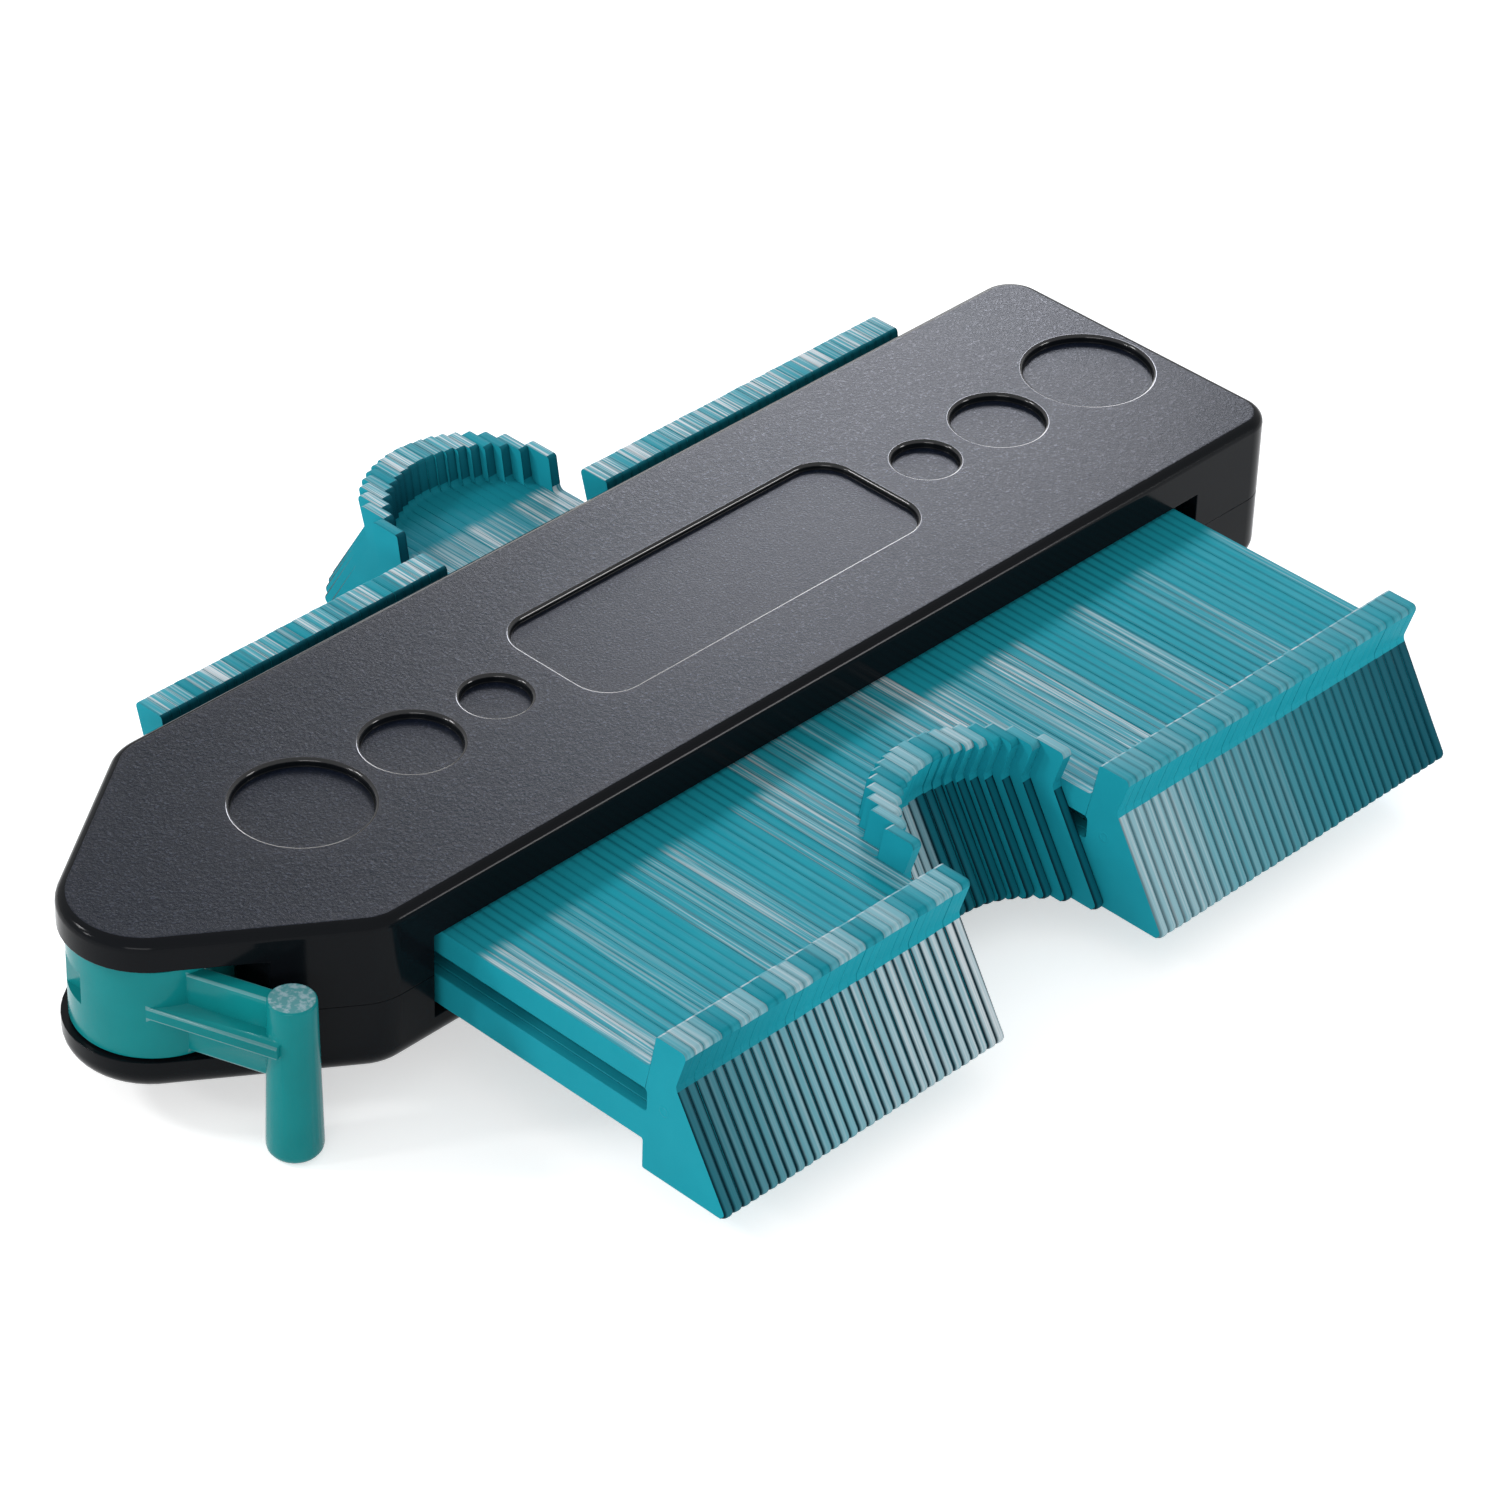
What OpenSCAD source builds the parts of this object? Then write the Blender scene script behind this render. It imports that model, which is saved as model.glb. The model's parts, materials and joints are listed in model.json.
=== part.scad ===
// Contour gauge: a flat housing that carries a stack of thin sliding lamellae.
// Pushed against a shape, the lamellae slide back and keep its outline.
// A lever at the tapered nose turns an eccentric drum, which presses a clamp
// slider against the stack and locks it. The model shows a captured round pipe.
//
// X runs along the housing (nose at -X), Y across it (working side at -Y), Z up.
// The origin is on the underside, below the middle of the long top panel.

/* [Housing] */
// Height of the housing from its underside to its top face
housing_height = 20.5; // [20:0.5:24]
// Depth of the housing from its front wall to its back wall
housing_depth = 44; // [40:1:52]
// Thickness of the front and back walls
wall_thickness = 2.4; // [1.8:0.2:3]
// Thickness of the floor and of the roof over the lamella chamber
skin_thickness = 2.4; // [2:0.2:3]
// Rounding of the housing's upper outer edge
edge_radius = 1.3; // [0.6:0.1:1.8]
// Rounding of the housing's lower outer edge
lower_edge_radius = 2.8; // [1.4:0.1:3]
// Plan radius of the corners at the square end
corner_radius = 4.5; // [3:0.5:8]
// Plan radius of the shoulders where the nose taper starts
shoulder_radius = 7; // [4:0.5:10]
// Length of the solid block behind the end stop
end_block_length = 14.4; // [13:0.2:20]
// Length from the lamella stack to the start of the nose taper
shoulder_length = 6.4; // [6:0.2:10]
// Length from the start of the nose taper to the lever pivot
nose_length = 16.3; // [15:0.1:20]
// Thickness of the nose lip above the lever drum
upper_lip = 3.9; // [3:0.1:4.5]
// Thickness of the nose lip below the lever drum
lower_lip = 4.3; // [3:0.1:4.5]

/* [Top face] */
// Length of the rounded panel recess
panel_length = 53.8; // [40:0.2:56]
// Width of the rounded panel recess
panel_width = 18.4; // [12:0.2:24]
// Corner radius of the panel recess
panel_radius = 4.5; // [2:0.5:6]
// Depth of the panel recess
panel_depth = 0.8; // [0.4:0.1:1]
// Depth of the round recesses
dimple_depth = 1; // [0.4:0.1:1.2]
// Radius of the two outer round recesses
outer_dimple_radius = 8; // [6:0.1:8.2]
// Radius of the two middle round recesses
middle_dimple_radius = 5.8; // [4:0.1:6.2]
// Radius of the two inner round recesses
inner_dimple_radius = 4.1; // [3:0.1:4.6]
// Distance of the outer round recesses from the middle
outer_dimple_offset = 64.4; // [63:0.1:65]
// Distance of the middle round recesses from the middle
middle_dimple_offset = 48.1; // [47:0.1:49]
// Distance of the inner round recesses from the middle
inner_dimple_offset = 35.3; // [34:0.1:36]

/* [Lamellae] */
// Width of the whole lamella stack
stack_width = 120; // [110:1:130]
// Offset of the middle of the stack from the middle of the panel
stack_offset = -3.76; // [-5:0.01:-2]
// Lamellae in the flat group beside the nose
left_count = 32; // [24:1:40]
// Lamellae pushed back by the captured pipe
arc_count = 19; // [9:2:19]
// Lamellae in the flat group beside the square end
right_count = 37; // [24:1:40]
// Free gap between two lamellae
lamella_gap = 0.06; // [0.04:0.01:0.12]
// Distance a lamella can slide
lamella_travel = 30; // [24:1:36]
// Height of the lower bar's underside
bar_bottom = 4.2; // [4:0.1:4.6]
// Height of the lower bar
lower_bar_height = 3.9; // [3:0.1:4.2]
// Height of the slot between the bars
slot_height = 3; // [2.6:0.1:3.4]
// Height of the upper bar
upper_bar_height = 3.35; // [2.6:0.05:3.6]
// Length of the working tip beyond the bar
tip_reach = 12.3; // [11:0.1:14]
// Length from the bar to the notch under the lip
notch_reach = 3.8; // [3:0.1:5]
// Length from the bar to the edge of the lip
lip_reach = 5.4; // [5:0.1:6.5]
// Height of the notch under the lip
notch_height = 13.8; // [12:0.1:14]
// Drop of the head's top below the housing's top face
head_drop = 1.5; // [1:0.1:2]
// Height of the head's underside above the housing's underside
head_lift = 0.2; // [0.1:0.1:0.6]
// Radius of the rounded tip
tip_radius = 0.8; // [0.4:0.1:1.2]
// Radius of the pipe whose outline the gauge holds
pipe_radius = 12.6; // [12:0.1:18]
// Depth to which the pipe was pressed in
capture_depth = 18.3; // [14:0.1:22]

/* [Lock] */
// Radius of the lever drum
drum_radius = 9.5; // [8.6:0.1:10]
// Eccentricity of the drum about its pivot
drum_eccentricity = 0.37; // [0.2:0.01:0.5]
// Direction of the eccentricity from the clamp slider, in degrees
eccentric_angle = -35; // [-40:1:-30]
// Direction in which the lever arm points, in degrees
lever_angle = -70; // [-75:1:-66]
// Distance from the pivot to the grip pin along the arm
arm_length = 19.8; // [19:0.1:24]
// Sideways offset of the arm from the pivot
arm_offset = 4.8; // [4:0.1:5.2]
// Thickness of the arm's upright web
web_thickness = 2; // [1.6:0.1:2.6]
// Width of the arm's flat rib
rib_width = 6.2; // [5:0.1:6.8]
// Thickness of the arm's flat rib
rib_thickness = 1.6; // [1:0.1:2]
// Radius of the grip pin at its top
grip_radius = 2.75; // [2.4:0.05:3]
// Growth of the grip pin's radius from top to foot
grip_draft = 0.45; // [0.1:0.05:0.6]
// Length of the grip pin
grip_length = 20.8; // [16:0.1:22]
// Radius of the pivot pin
pivot_radius = 2; // [1.5:0.1:2.4]

/* [Guide and fasteners] */
// Width of the guide rail through the lamella slots
rail_width = 6; // [4:0.2:8]
// Thickness of the clamp slider's pressure plate
plate_thickness = 3; // [2.4:0.1:3.4]
// Thickness of the end stop
stop_thickness = 3.7; // [3:0.1:4.5]
// Radius of a screw shank
screw_radius = 1.3; // [1:0.1:1.4]
// Radius of a screw head
screw_head_radius = 2.6; // [2.2:0.1:2.8]
// Height of a screw head
screw_head_height = 2; // [1.4:0.1:2.2]

/* [Hidden] */
$fn = 64;
housing_colour = "#2b2f3a";
lamella_colour = "#17929c";
inner_colour = "#23262c";
steel_colour = "#b4b8bd";

// Clearances
slide_clearance = 0.1;
running_clearance = 0.05;
opening_clearance = 0.4;
guide_clearance = 0.2;
head_clearance = 1.3;
drum_clearance = 0.3;
clamp_gap = 0.1;
cut = 1;

// Lamella stack
lamella_count = left_count + arc_count + right_count;
pitch = stack_width / lamella_count;
lamella_thickness = pitch - lamella_gap;
stack_left = stack_offset - stack_width / 2;
stack_right = stack_left + stack_width;
left_blocks = 4;
right_blocks = 4;

// Heights of the lamella
slot_bottom = bar_bottom + lower_bar_height;
slot_top = slot_bottom + slot_height;
bar_top = slot_top + upper_bar_height;
head_top = housing_height - head_drop;
seam_height = (slot_bottom + slot_top) / 2;

// Lengths of the lamella from its own middle
bar_half = (housing_depth + lamella_travel) / 2 + head_clearance;
heel_half = bar_half - 0.9;
slot_half = bar_half - 0.4;
lip_inner_half = bar_half + 0.8;

// Lever and nose
shoulder_x = stack_left - shoulder_length;
pivot_x = shoulder_x - nose_length;
lip_overhang = 0.5;
nose_radius = drum_radius + lip_overhang;
lip_low = lower_lip;
lip_high = housing_height - upper_lip;
lever_window = 4;
drum_bottom = lip_low + drum_clearance;
drum_top = lip_high - drum_clearance - slide_clearance;
arm_bottom = drum_bottom + 0.4;
arm_top = drum_top - 0.8;
rib_rise = 0.5;
rib_bottom = (arm_bottom + arm_top) / 2 + rib_rise - rib_thickness / 2;
rib_back = 2.5;
grip_top = arm_top + 0.4;
grip_rounding = 0.4;
foot_rounding = 1.3;
pin_bottom = 1.6;
pin_top = housing_height - 1.6;

// Clamp slider
slider_half_width = 9;
pad_thickness = 3;
release_stroke = 0.6;
pad_left = pivot_x + drum_radius + drum_eccentricity * cos(eccentric_angle) + clamp_gap;
plate_right = stack_left - clamp_gap;
plate_left = plate_right - plate_thickness;
plate_half_width = housing_depth / 2 - wall_thickness - 0.6;
chamber_left = plate_left - release_stroke - drum_clearance;

// Guide rail, end stop and housing ends
rail_bottom = slot_bottom + slide_clearance;
rail_top = slot_top - slide_clearance;
stop_left = stack_right + clamp_gap;
chamber_right = stop_left + stop_thickness;
square_end_x = chamber_right + end_block_length;
rail_seat = 2.2;
post_length = 2.4;
post_right = chamber_left - guide_clearance;
rail_left = post_right - post_length;
rail_right = chamber_right + rail_seat;
opening_left = stack_left - 1.5;
opening_right = chamber_right;
chamber_half = housing_depth / 2 - wall_thickness;

// Screws: two beside the nose taper, two in the end block
screw_places = [
    for (side = [-1, 1])
        each [
            [shoulder_x - 2.2, side * (housing_depth / 2 - 8.4)],
            [square_end_x - 8, side * (housing_depth / 2 - 9)]
        ]
];
screw_hole_radius = screw_radius + 0.2;
counterbore_radius = screw_head_radius + guide_clearance;
screw_seat = 2.6;
screw_top = seam_height + 6;

// Corner circles of the housing's plan, counter-clockwise: [x, y, radius]
plan_corners = [
    [square_end_x - corner_radius, housing_depth / 2 - corner_radius, corner_radius],
    [shoulder_x, housing_depth / 2 - shoulder_radius, shoulder_radius],
    [pivot_x, 0, nose_radius],
    [shoulder_x, shoulder_radius - housing_depth / 2, shoulder_radius],
    [square_end_x - corner_radius, corner_radius - housing_depth / 2, corner_radius]
];

// Shift of an arc lamella that touches the pipe, by its distance from the pipe's axis
function capture_shift(distance) =
    capture_depth - pipe_radius + sqrt(max(0, pipe_radius ^ 2 - distance ^ 2));

// Left face of a lamella, counted from the nose
function lamella_x(index) = stack_left + index * pitch + lamella_gap / 2;

// First lamella of a block when a group is shared between blocks
function block_start(block, blocks, count) = floor((block - 1) * count / blocks);

// Points of a curve seen in a mirror that stands upright on its origin, in reverse order
function mirrored(points) =
    [for (index = [len(points) - 1:-1:0]) [-points[index][0], points[index][1]]];

// Head at one end of a lamella: heel, rounded working tip, notch and lip
tip = [bar_half + tip_reach, head_lift];
notch = [bar_half + notch_reach, notch_height];
tip_slope = atan2(notch[1] - tip[1], tip[0] - notch[0]);
tip_centre = tip + tip_radius * [-1 / tan(tip_slope / 2), 1];
tip_steps = 6;
head_points = concat(
    [
        [heel_half, bar_bottom],
        [heel_half, head_lift]
    ],
    [
        for (step = [0:tip_steps])
            let (turn = step / tip_steps * (180 - tip_slope) - 90)
            tip_centre + tip_radius * [cos(turn), sin(turn)]
    ],
    [
        notch,
        [bar_half + lip_reach, head_top],
        [lip_inner_half, head_top],
        [bar_half, bar_top]
    ]
);

// Box between two opposite corners
module box(low, high) {
    translate(low)
        cube(high - low);
}

// Upright cylinder between two heights
module post(place, radius, bottom, top) {
    translate([place[0], place[1], bottom])
        cylinder(r = radius, h = top - bottom);
}

// Quarter of a disc, which rounds the housing's edge
module quarter_round(radius) {
    intersection() {
        circle(r = radius);
        square(radius);
    }
}

// Half of the housing as a solid block whose upper outer edge is rounded:
// the straight sides are stretched between the round corners
module half_block(height, rounding) {
    $fn = 48;
    straight_height = height - rounding;
    hull()
        for (corner = plan_corners)
            translate([corner[0], corner[1], 0]) {
                cylinder(r = corner[2], h = straight_height);
                translate([0, 0, straight_height])
                    rotate_extrude()
                        translate([corner[2] - rounding, 0])
                            quarter_round(rounding);
            }
}

// Rooms inside the housing: lamella chamber, its front and back openings,
// slider channel, drum pocket and the slot in which the lever swings
module housing_rooms() {
    box(
        [chamber_left, -chamber_half, skin_thickness],
        [chamber_right, chamber_half, housing_height - skin_thickness]
    );
    box(
        [opening_left, -housing_depth, bar_bottom - opening_clearance],
        [opening_right, housing_depth, bar_top + opening_clearance]
    );
    difference() {
        box(
            [pivot_x, -slider_half_width - guide_clearance, lip_low],
            [chamber_left + cut, slider_half_width + guide_clearance, lip_high]
        );
        rail_post();
    }
    post(
        [pivot_x, 0],
        drum_radius + drum_eccentricity + drum_clearance,
        lip_low,
        lip_high
    );
    box(
        [pivot_x - nose_radius - cut, -housing_depth, lip_low],
        [pivot_x + lever_window, housing_depth, lip_high]
    );
}

// Post in the slider channel that carries the rail's end beside the nose
module rail_post() {
    box(
        [rail_left - post_length, -rail_width / 2 - post_length / 2, lip_low - cut],
        [post_right, rail_width / 2 + post_length / 2, lip_high + cut]
    );
}

// Space that the guide rail takes in the housing
module rail_seats() {
    box(
        [rail_left, -rail_width / 2, rail_bottom],
        [rail_right, rail_width / 2, rail_top]
    );
}

// Round-cornered outline of the panel recess
module panel_outline() {
    straight_x = panel_length / 2 - panel_radius;
    straight_y = panel_width / 2 - panel_radius;
    square([panel_length, 2 * straight_y], center = true);
    square([2 * straight_x, panel_width], center = true);
    for (x = [-straight_x, straight_x], y = [-straight_y, straight_y])
        translate([x, y])
            circle(r = panel_radius);
}

// Panel and round recesses in the top face
module top_recesses() {
    translate([0, 0, housing_height - panel_depth])
        linear_extrude(panel_depth + cut)
            panel_outline();
    for (side = [-1, 1]) {
        dimple(side * outer_dimple_offset, outer_dimple_radius);
        dimple(side * middle_dimple_offset, middle_dimple_radius);
        dimple(side * inner_dimple_offset, inner_dimple_radius);
    }
}

// One round recess on the middle line of the top face
module dimple(x, radius) {
    post([x, 0], radius, housing_height - dimple_depth, housing_height + cut);
}

// Upper half of the housing, with blind holes for the screws
module top_cover() {
    color(housing_colour)
        difference() {
            translate([0, 0, seam_height])
                half_block(housing_height - seam_height, edge_radius);
            housing_rooms();
            rail_seats();
            top_recesses();
            post([pivot_x, 0], pivot_radius + running_clearance, pin_bottom, pin_top);
            for (place = screw_places)
                post(place, screw_radius + running_clearance, seam_height - cut, screw_top + cut);
        }
}

// Lower half of the housing, with countersunk seats for the screw heads
module bottom_cover() {
    color(housing_colour)
        difference() {
            translate([0, 0, seam_height])
                mirror([0, 0, 1])
                    half_block(seam_height, lower_edge_radius);
            housing_rooms();
            rail_seats();
            post([pivot_x, 0], pivot_radius + running_clearance, pin_bottom, pin_top);
            for (place = screw_places) {
                post(place, screw_hole_radius, -cut, seam_height + cut);
                post(place, counterbore_radius, -cut, screw_seat);
            }
        }
}

// Points of a quarter circle, from a start angle on
function quarter_arc(centre, radius, start, steps = 4) = [
    for (angle = [start:90 / steps:start + 90])
        centre + radius * [cos(angle), sin(angle)]
];

// Lever: eccentric drum, ribbed arm and upright grip pin in one moulding
module lock_lever() {
    color(lamella_colour)
        translate([pivot_x, 0, 0])
            difference() {
                union() {
                    lever_drum();
                    rotate([0, 0, lever_angle])
                        lever_arm();
                }
                post([0, 0], pivot_radius + running_clearance, drum_bottom - cut, drum_top + cut);
                drum_pocket();
            }
}

// Drum whose middle lies off the pivot, so that it works as a cam
module lever_drum() {
    post(
        drum_eccentricity * [cos(eccentric_angle), sin(eccentric_angle)],
        drum_radius,
        drum_bottom,
        drum_top
    );
}

// Pocket in the outer face of the drum
module drum_pocket() {
    pocket_depth = 2;
    pocket_side = 0.9;
    pocket_height = 4.1;
    pocket_bottom = drum_bottom + 4.4;
    box(
        [-drum_radius - cut, pocket_side, pocket_bottom],
        [pocket_depth - drum_radius, drum_radius, pocket_bottom + pocket_height]
    );
}

// Arm along X, beside the pivot: upright web, flat rib that reaches further outwards, grip pin
module lever_arm() {
    arm_start = 3;
    box(
        [arm_start, -arm_offset - web_thickness / 2, arm_bottom],
        [arm_length, -arm_offset + web_thickness / 2, arm_top]
    );
    box(
        [arm_start, -arm_offset + rib_back - rib_width, rib_bottom],
        [arm_length, -arm_offset + rib_back, rib_bottom + rib_thickness]
    );
    translate([arm_length, -arm_offset, grip_top - grip_length])
        grip_pin();
}

// Grip pin with a little draft, a round foot and a softer round top edge
module grip_pin() {
    foot_radius = grip_radius + grip_draft;
    rotate_extrude()
        polygon(concat(
            [[0, 0]],
            quarter_arc([foot_radius - foot_rounding, foot_rounding], foot_rounding, -90),
            quarter_arc([grip_radius - grip_rounding, grip_length - grip_rounding], grip_rounding, 0),
            [[0, grip_length]]
        ));
}

// Steel pin on which the drum turns
module lever_pivot_pin() {
    color(steel_colour)
        post([pivot_x, 0], pivot_radius, pin_bottom, pin_top);
}

// Slider between drum and stack: pad, two arms past the rail post, pressure plate
module clamp_slider() {
    arm_inner = rail_width / 2 + post_length / 2 + guide_clearance;
    slider_bottom = lip_low + guide_clearance;
    slider_top = lip_high - guide_clearance;
    pad_right = pad_left + pad_thickness;
    color(inner_colour)
        difference() {
            union() {
                box(
                    [pad_left, -slider_half_width, slider_bottom],
                    [pad_right, slider_half_width, slider_top]
                );
                for (side = [0, 1])
                    mirror([0, side, 0])
                        box(
                            [pad_left, arm_inner, slider_bottom],
                            [plate_right, slider_half_width, slider_top]
                        );
                box(
                    [plate_left, -plate_half_width, skin_thickness + guide_clearance],
                    [plate_right, plate_half_width, housing_height - skin_thickness - guide_clearance]
                );
            }
            box(
                [plate_left - cut, -rail_width / 2 - guide_clearance, rail_bottom - guide_clearance],
                [plate_right + cut, rail_width / 2 + guide_clearance, rail_top + guide_clearance]
            );
        }
}

// Flat rail through the slots of all lamellae
module guide_rail() {
    color(steel_colour)
        box(
            [rail_left, -rail_width / 2, rail_bottom],
            [rail_right, rail_width / 2, rail_top]
        );
}

// Block against which the stack is pressed
module end_stop() {
    color(inner_colour)
        difference() {
            box(
                [stop_left, -plate_half_width, skin_thickness],
                [chamber_right, plate_half_width, housing_height - skin_thickness]
            );
            box(
                [stop_left - cut, -rail_width / 2, rail_bottom],
                [chamber_right + cut, rail_width / 2, rail_top]
            );
        }
}

// Screws that hold the covers together, put in from below
module cover_screws() {
    color(steel_colour)
        for (place = screw_places)
            translate([place[0], place[1], screw_seat - screw_head_height])
                cover_screw();
}

// One screw with a cross recess in its head
module cover_screw() {
    recess_length = 1.3 * screw_head_radius;
    recess_width = 0.3 * screw_head_radius;
    recess_depth = screw_head_height / 2;
    difference() {
        union() {
            cylinder(r = screw_head_radius, h = screw_head_height);
            cylinder(r = screw_radius, h = screw_top - screw_seat + screw_head_height);
        }
        for (turn = [0, 90])
            rotate([0, 0, turn])
                box(
                    [-recess_length / 2, -recess_width / 2, -cut],
                    [recess_length / 2, recess_width / 2, recess_depth]
                );
    }
}

// Side outline of a lamella: two bars with a slot between them and a head at each end
module lamella_outline() {
    difference() {
        polygon(concat(head_points, mirrored(head_points)));
        translate([-slot_half, slot_bottom])
            square([2 * slot_half, slot_height]);
    }
}

// One lamella in its place in the stack, slid back from its foremost position
module lamella(index, shift) {
    color(lamella_colour)
        translate([lamella_x(index), shift - lamella_travel / 2, 0])
            rotate([90, 0, 90])
                linear_extrude(lamella_thickness)
                    lamella_outline();
}

// Block of flat lamellae beside the nose
module lamellae_left(block) {
    first = block_start(block, left_blocks, left_count);
    last = block_start(block + 1, left_blocks, left_count) - 1;
    for (index = [first:last])
        lamella(index, 0);
}

// One lamella of the captured arc
module lamella_arc(place) {
    distance = (place - (arc_count + 1) / 2) * pitch;
    lamella(left_count + place - 1, capture_shift(distance));
}

// Block of flat lamellae beside the square end
module lamellae_right(block) {
    offset_index = left_count + arc_count;
    first = block_start(block, right_blocks, right_count);
    last = block_start(block + 1, right_blocks, right_count) - 1;
    for (index = [first:last])
        lamella(offset_index + index, 0);
}

top_cover();
bottom_cover();
lock_lever();
lever_pivot_pin();
clamp_slider();
guide_rail();
end_stop();
cover_screws();
for (block = [1:left_blocks])
    lamellae_left(block);
for (place = [1:arc_count])
    lamella_arc(place);
for (block = [1:right_blocks])
    lamellae_right(block);
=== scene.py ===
"""Looks of a contour gauge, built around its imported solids.

Lengths are in metres. X runs along the housing, the nose at -X, Y across it,
the working side at -Y, and Z up.
"""

import json
import math

import bmesh
import bpy
import numpy as np
from mathutils import Matrix, Vector


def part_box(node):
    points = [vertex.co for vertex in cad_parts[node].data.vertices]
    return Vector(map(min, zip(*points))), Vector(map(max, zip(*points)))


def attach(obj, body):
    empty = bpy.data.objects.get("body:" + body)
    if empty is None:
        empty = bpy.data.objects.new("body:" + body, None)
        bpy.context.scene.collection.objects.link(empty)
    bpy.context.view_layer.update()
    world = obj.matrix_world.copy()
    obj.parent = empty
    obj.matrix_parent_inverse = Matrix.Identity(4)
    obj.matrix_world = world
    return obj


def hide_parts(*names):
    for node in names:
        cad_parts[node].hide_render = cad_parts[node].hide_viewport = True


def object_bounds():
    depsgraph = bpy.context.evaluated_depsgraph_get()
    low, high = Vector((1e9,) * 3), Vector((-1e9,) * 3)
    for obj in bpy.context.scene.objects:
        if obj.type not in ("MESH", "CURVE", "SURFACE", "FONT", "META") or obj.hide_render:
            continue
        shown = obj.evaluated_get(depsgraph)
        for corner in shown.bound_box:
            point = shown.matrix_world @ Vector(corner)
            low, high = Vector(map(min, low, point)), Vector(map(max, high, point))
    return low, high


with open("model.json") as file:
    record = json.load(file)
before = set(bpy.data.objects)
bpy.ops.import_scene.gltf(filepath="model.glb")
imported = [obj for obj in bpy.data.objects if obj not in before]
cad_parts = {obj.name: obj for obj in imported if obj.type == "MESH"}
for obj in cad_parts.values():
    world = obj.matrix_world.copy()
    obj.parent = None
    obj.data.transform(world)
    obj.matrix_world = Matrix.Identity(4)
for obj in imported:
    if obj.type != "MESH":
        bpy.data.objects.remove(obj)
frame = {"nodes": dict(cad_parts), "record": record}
cad_low, cad_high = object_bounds()

MM = 0.001
RANDOM = np.random.default_rng(20)

# Sizes of a lamella, from its own middle (along) and from the underside (height)
LAMELLA_PITCH = 120 / 88 * MM
BAR_HALF = 38.3 * MM
HEEL_HALF = 37.4 * MM
SLOT_HALF = 37.9 * MM
TIP_HALF = 50.57 * MM
NOTCH_HALF = 42.1 * MM
LIP_HALF = 43.7 * MM
LIP_INNER_HALF = 39.1 * MM
HEAD_BOTTOM = 0.2 * MM
BAR_BOTTOM = 4.2 * MM
SLOT_BOTTOM = 8.1 * MM
SLOT_TOP = 11.1 * MM
NOTCH_HEIGHT = 13.8 * MM
BAR_TOP = 14.45 * MM
HEAD_TOP = 19.0 * MM
SLOT_CORNER = 0.5 * MM
LAMELLA_THICKNESS = 1.335 * MM
LAMELLA_GAP = 0.06 * MM
EJECTOR_ALONG = 40.5 * MM
EJECTOR_HEIGHT = 9.65 * MM

# The stack: its lamellae are numbered from the nose, and the last group starts after the arc
STACK_COUNT = 88
LAST_GROUP_START = 51
STACK_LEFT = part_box("lamellae_left_1")[0].x
FLAT_MIDDLE = -15 * MM

# Housing: faces up to the grain's depth below its top are grained, so recess floors are too
TOP_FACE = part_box("top_cover")[1].z
GRAIN_DEPTH = 1.1 * MM

# Lever: the pocket in its drum lies on the far side of POCKET_X
GRIP_TOP = 15.8 * MM
POCKET_X = -92 * MM
DRUM_MIDDLE = np.array([-86.157, -0.212]) * MM
DRUM_RADIUS = 9.5 * MM

# Angles between faces: rounded above the first, shaded as sharp above the others
ROUNDED_ANGLE = math.radians(32)
SHARP_ANGLE = math.radians(31)
LAMELLA_SHARP_ANGLE = math.radians(33)

# Nodes that ride on each body
BODIES = frame["record"]["behaviour"]["bodies"]

# Camera, fitted to the photograph
CAMERA_PLACE = Vector((-0.39914, -0.38121, 0.39658))
CAMERA_AZIMUTH = math.radians(46.844)
CAMERA_ELEVATION = math.radians(36.052)
CAMERA_ROLL = math.radians(2.033)
CAMERA_LENS = 137.75

# Studio
LIGHT_TARGET = Vector((0, -0.01, 0.01))
FLOOR_HALF = 3.0
FLOOR_GAP = 0.02 * MM


def camera():
    """Camera at the photograph's place; its axes come from azimuth, elevation and roll."""
    azimuth, elevation, roll = CAMERA_AZIMUTH, CAMERA_ELEVATION, CAMERA_ROLL
    look = Vector((
        math.sin(azimuth) * math.cos(elevation),
        math.cos(azimuth) * math.cos(elevation),
        -math.sin(elevation),
    ))
    level_right = Vector((math.cos(azimuth), -math.sin(azimuth), 0))
    level_up = level_right.cross(look)
    right = math.cos(roll) * level_right + math.sin(roll) * level_up
    up = math.cos(roll) * level_up - math.sin(roll) * level_right
    data = bpy.data.cameras.new("photo_camera")
    data.lens = CAMERA_LENS
    data.sensor_width = 36
    data.clip_start = 0.01
    data.clip_end = 10
    obj = bpy.data.objects.new("photo_camera", data)
    axes = Matrix((right, up, -look)).transposed()
    obj.matrix_world = Matrix.Translation(CAMERA_PLACE) @ axes.to_4x4()
    bpy.context.scene.collection.objects.link(obj)
    bpy.context.scene.camera = obj


def panel_light(name, place, width, height, watts, colour=(1, 1, 1)):
    """Studio light panel at a place, turned towards the gauge."""
    data = bpy.data.lights.new(name, "AREA")
    data.shape = "RECTANGLE"
    data.size = width
    data.size_y = height
    data.energy = watts
    data.color = colour
    obj = bpy.data.objects.new(name, data)
    obj.location = place
    towards = LIGHT_TARGET - Vector(place)
    obj.rotation_euler = towards.to_track_quat("-Z", "Y").to_euler()
    bpy.context.scene.collection.objects.link(obj)


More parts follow.
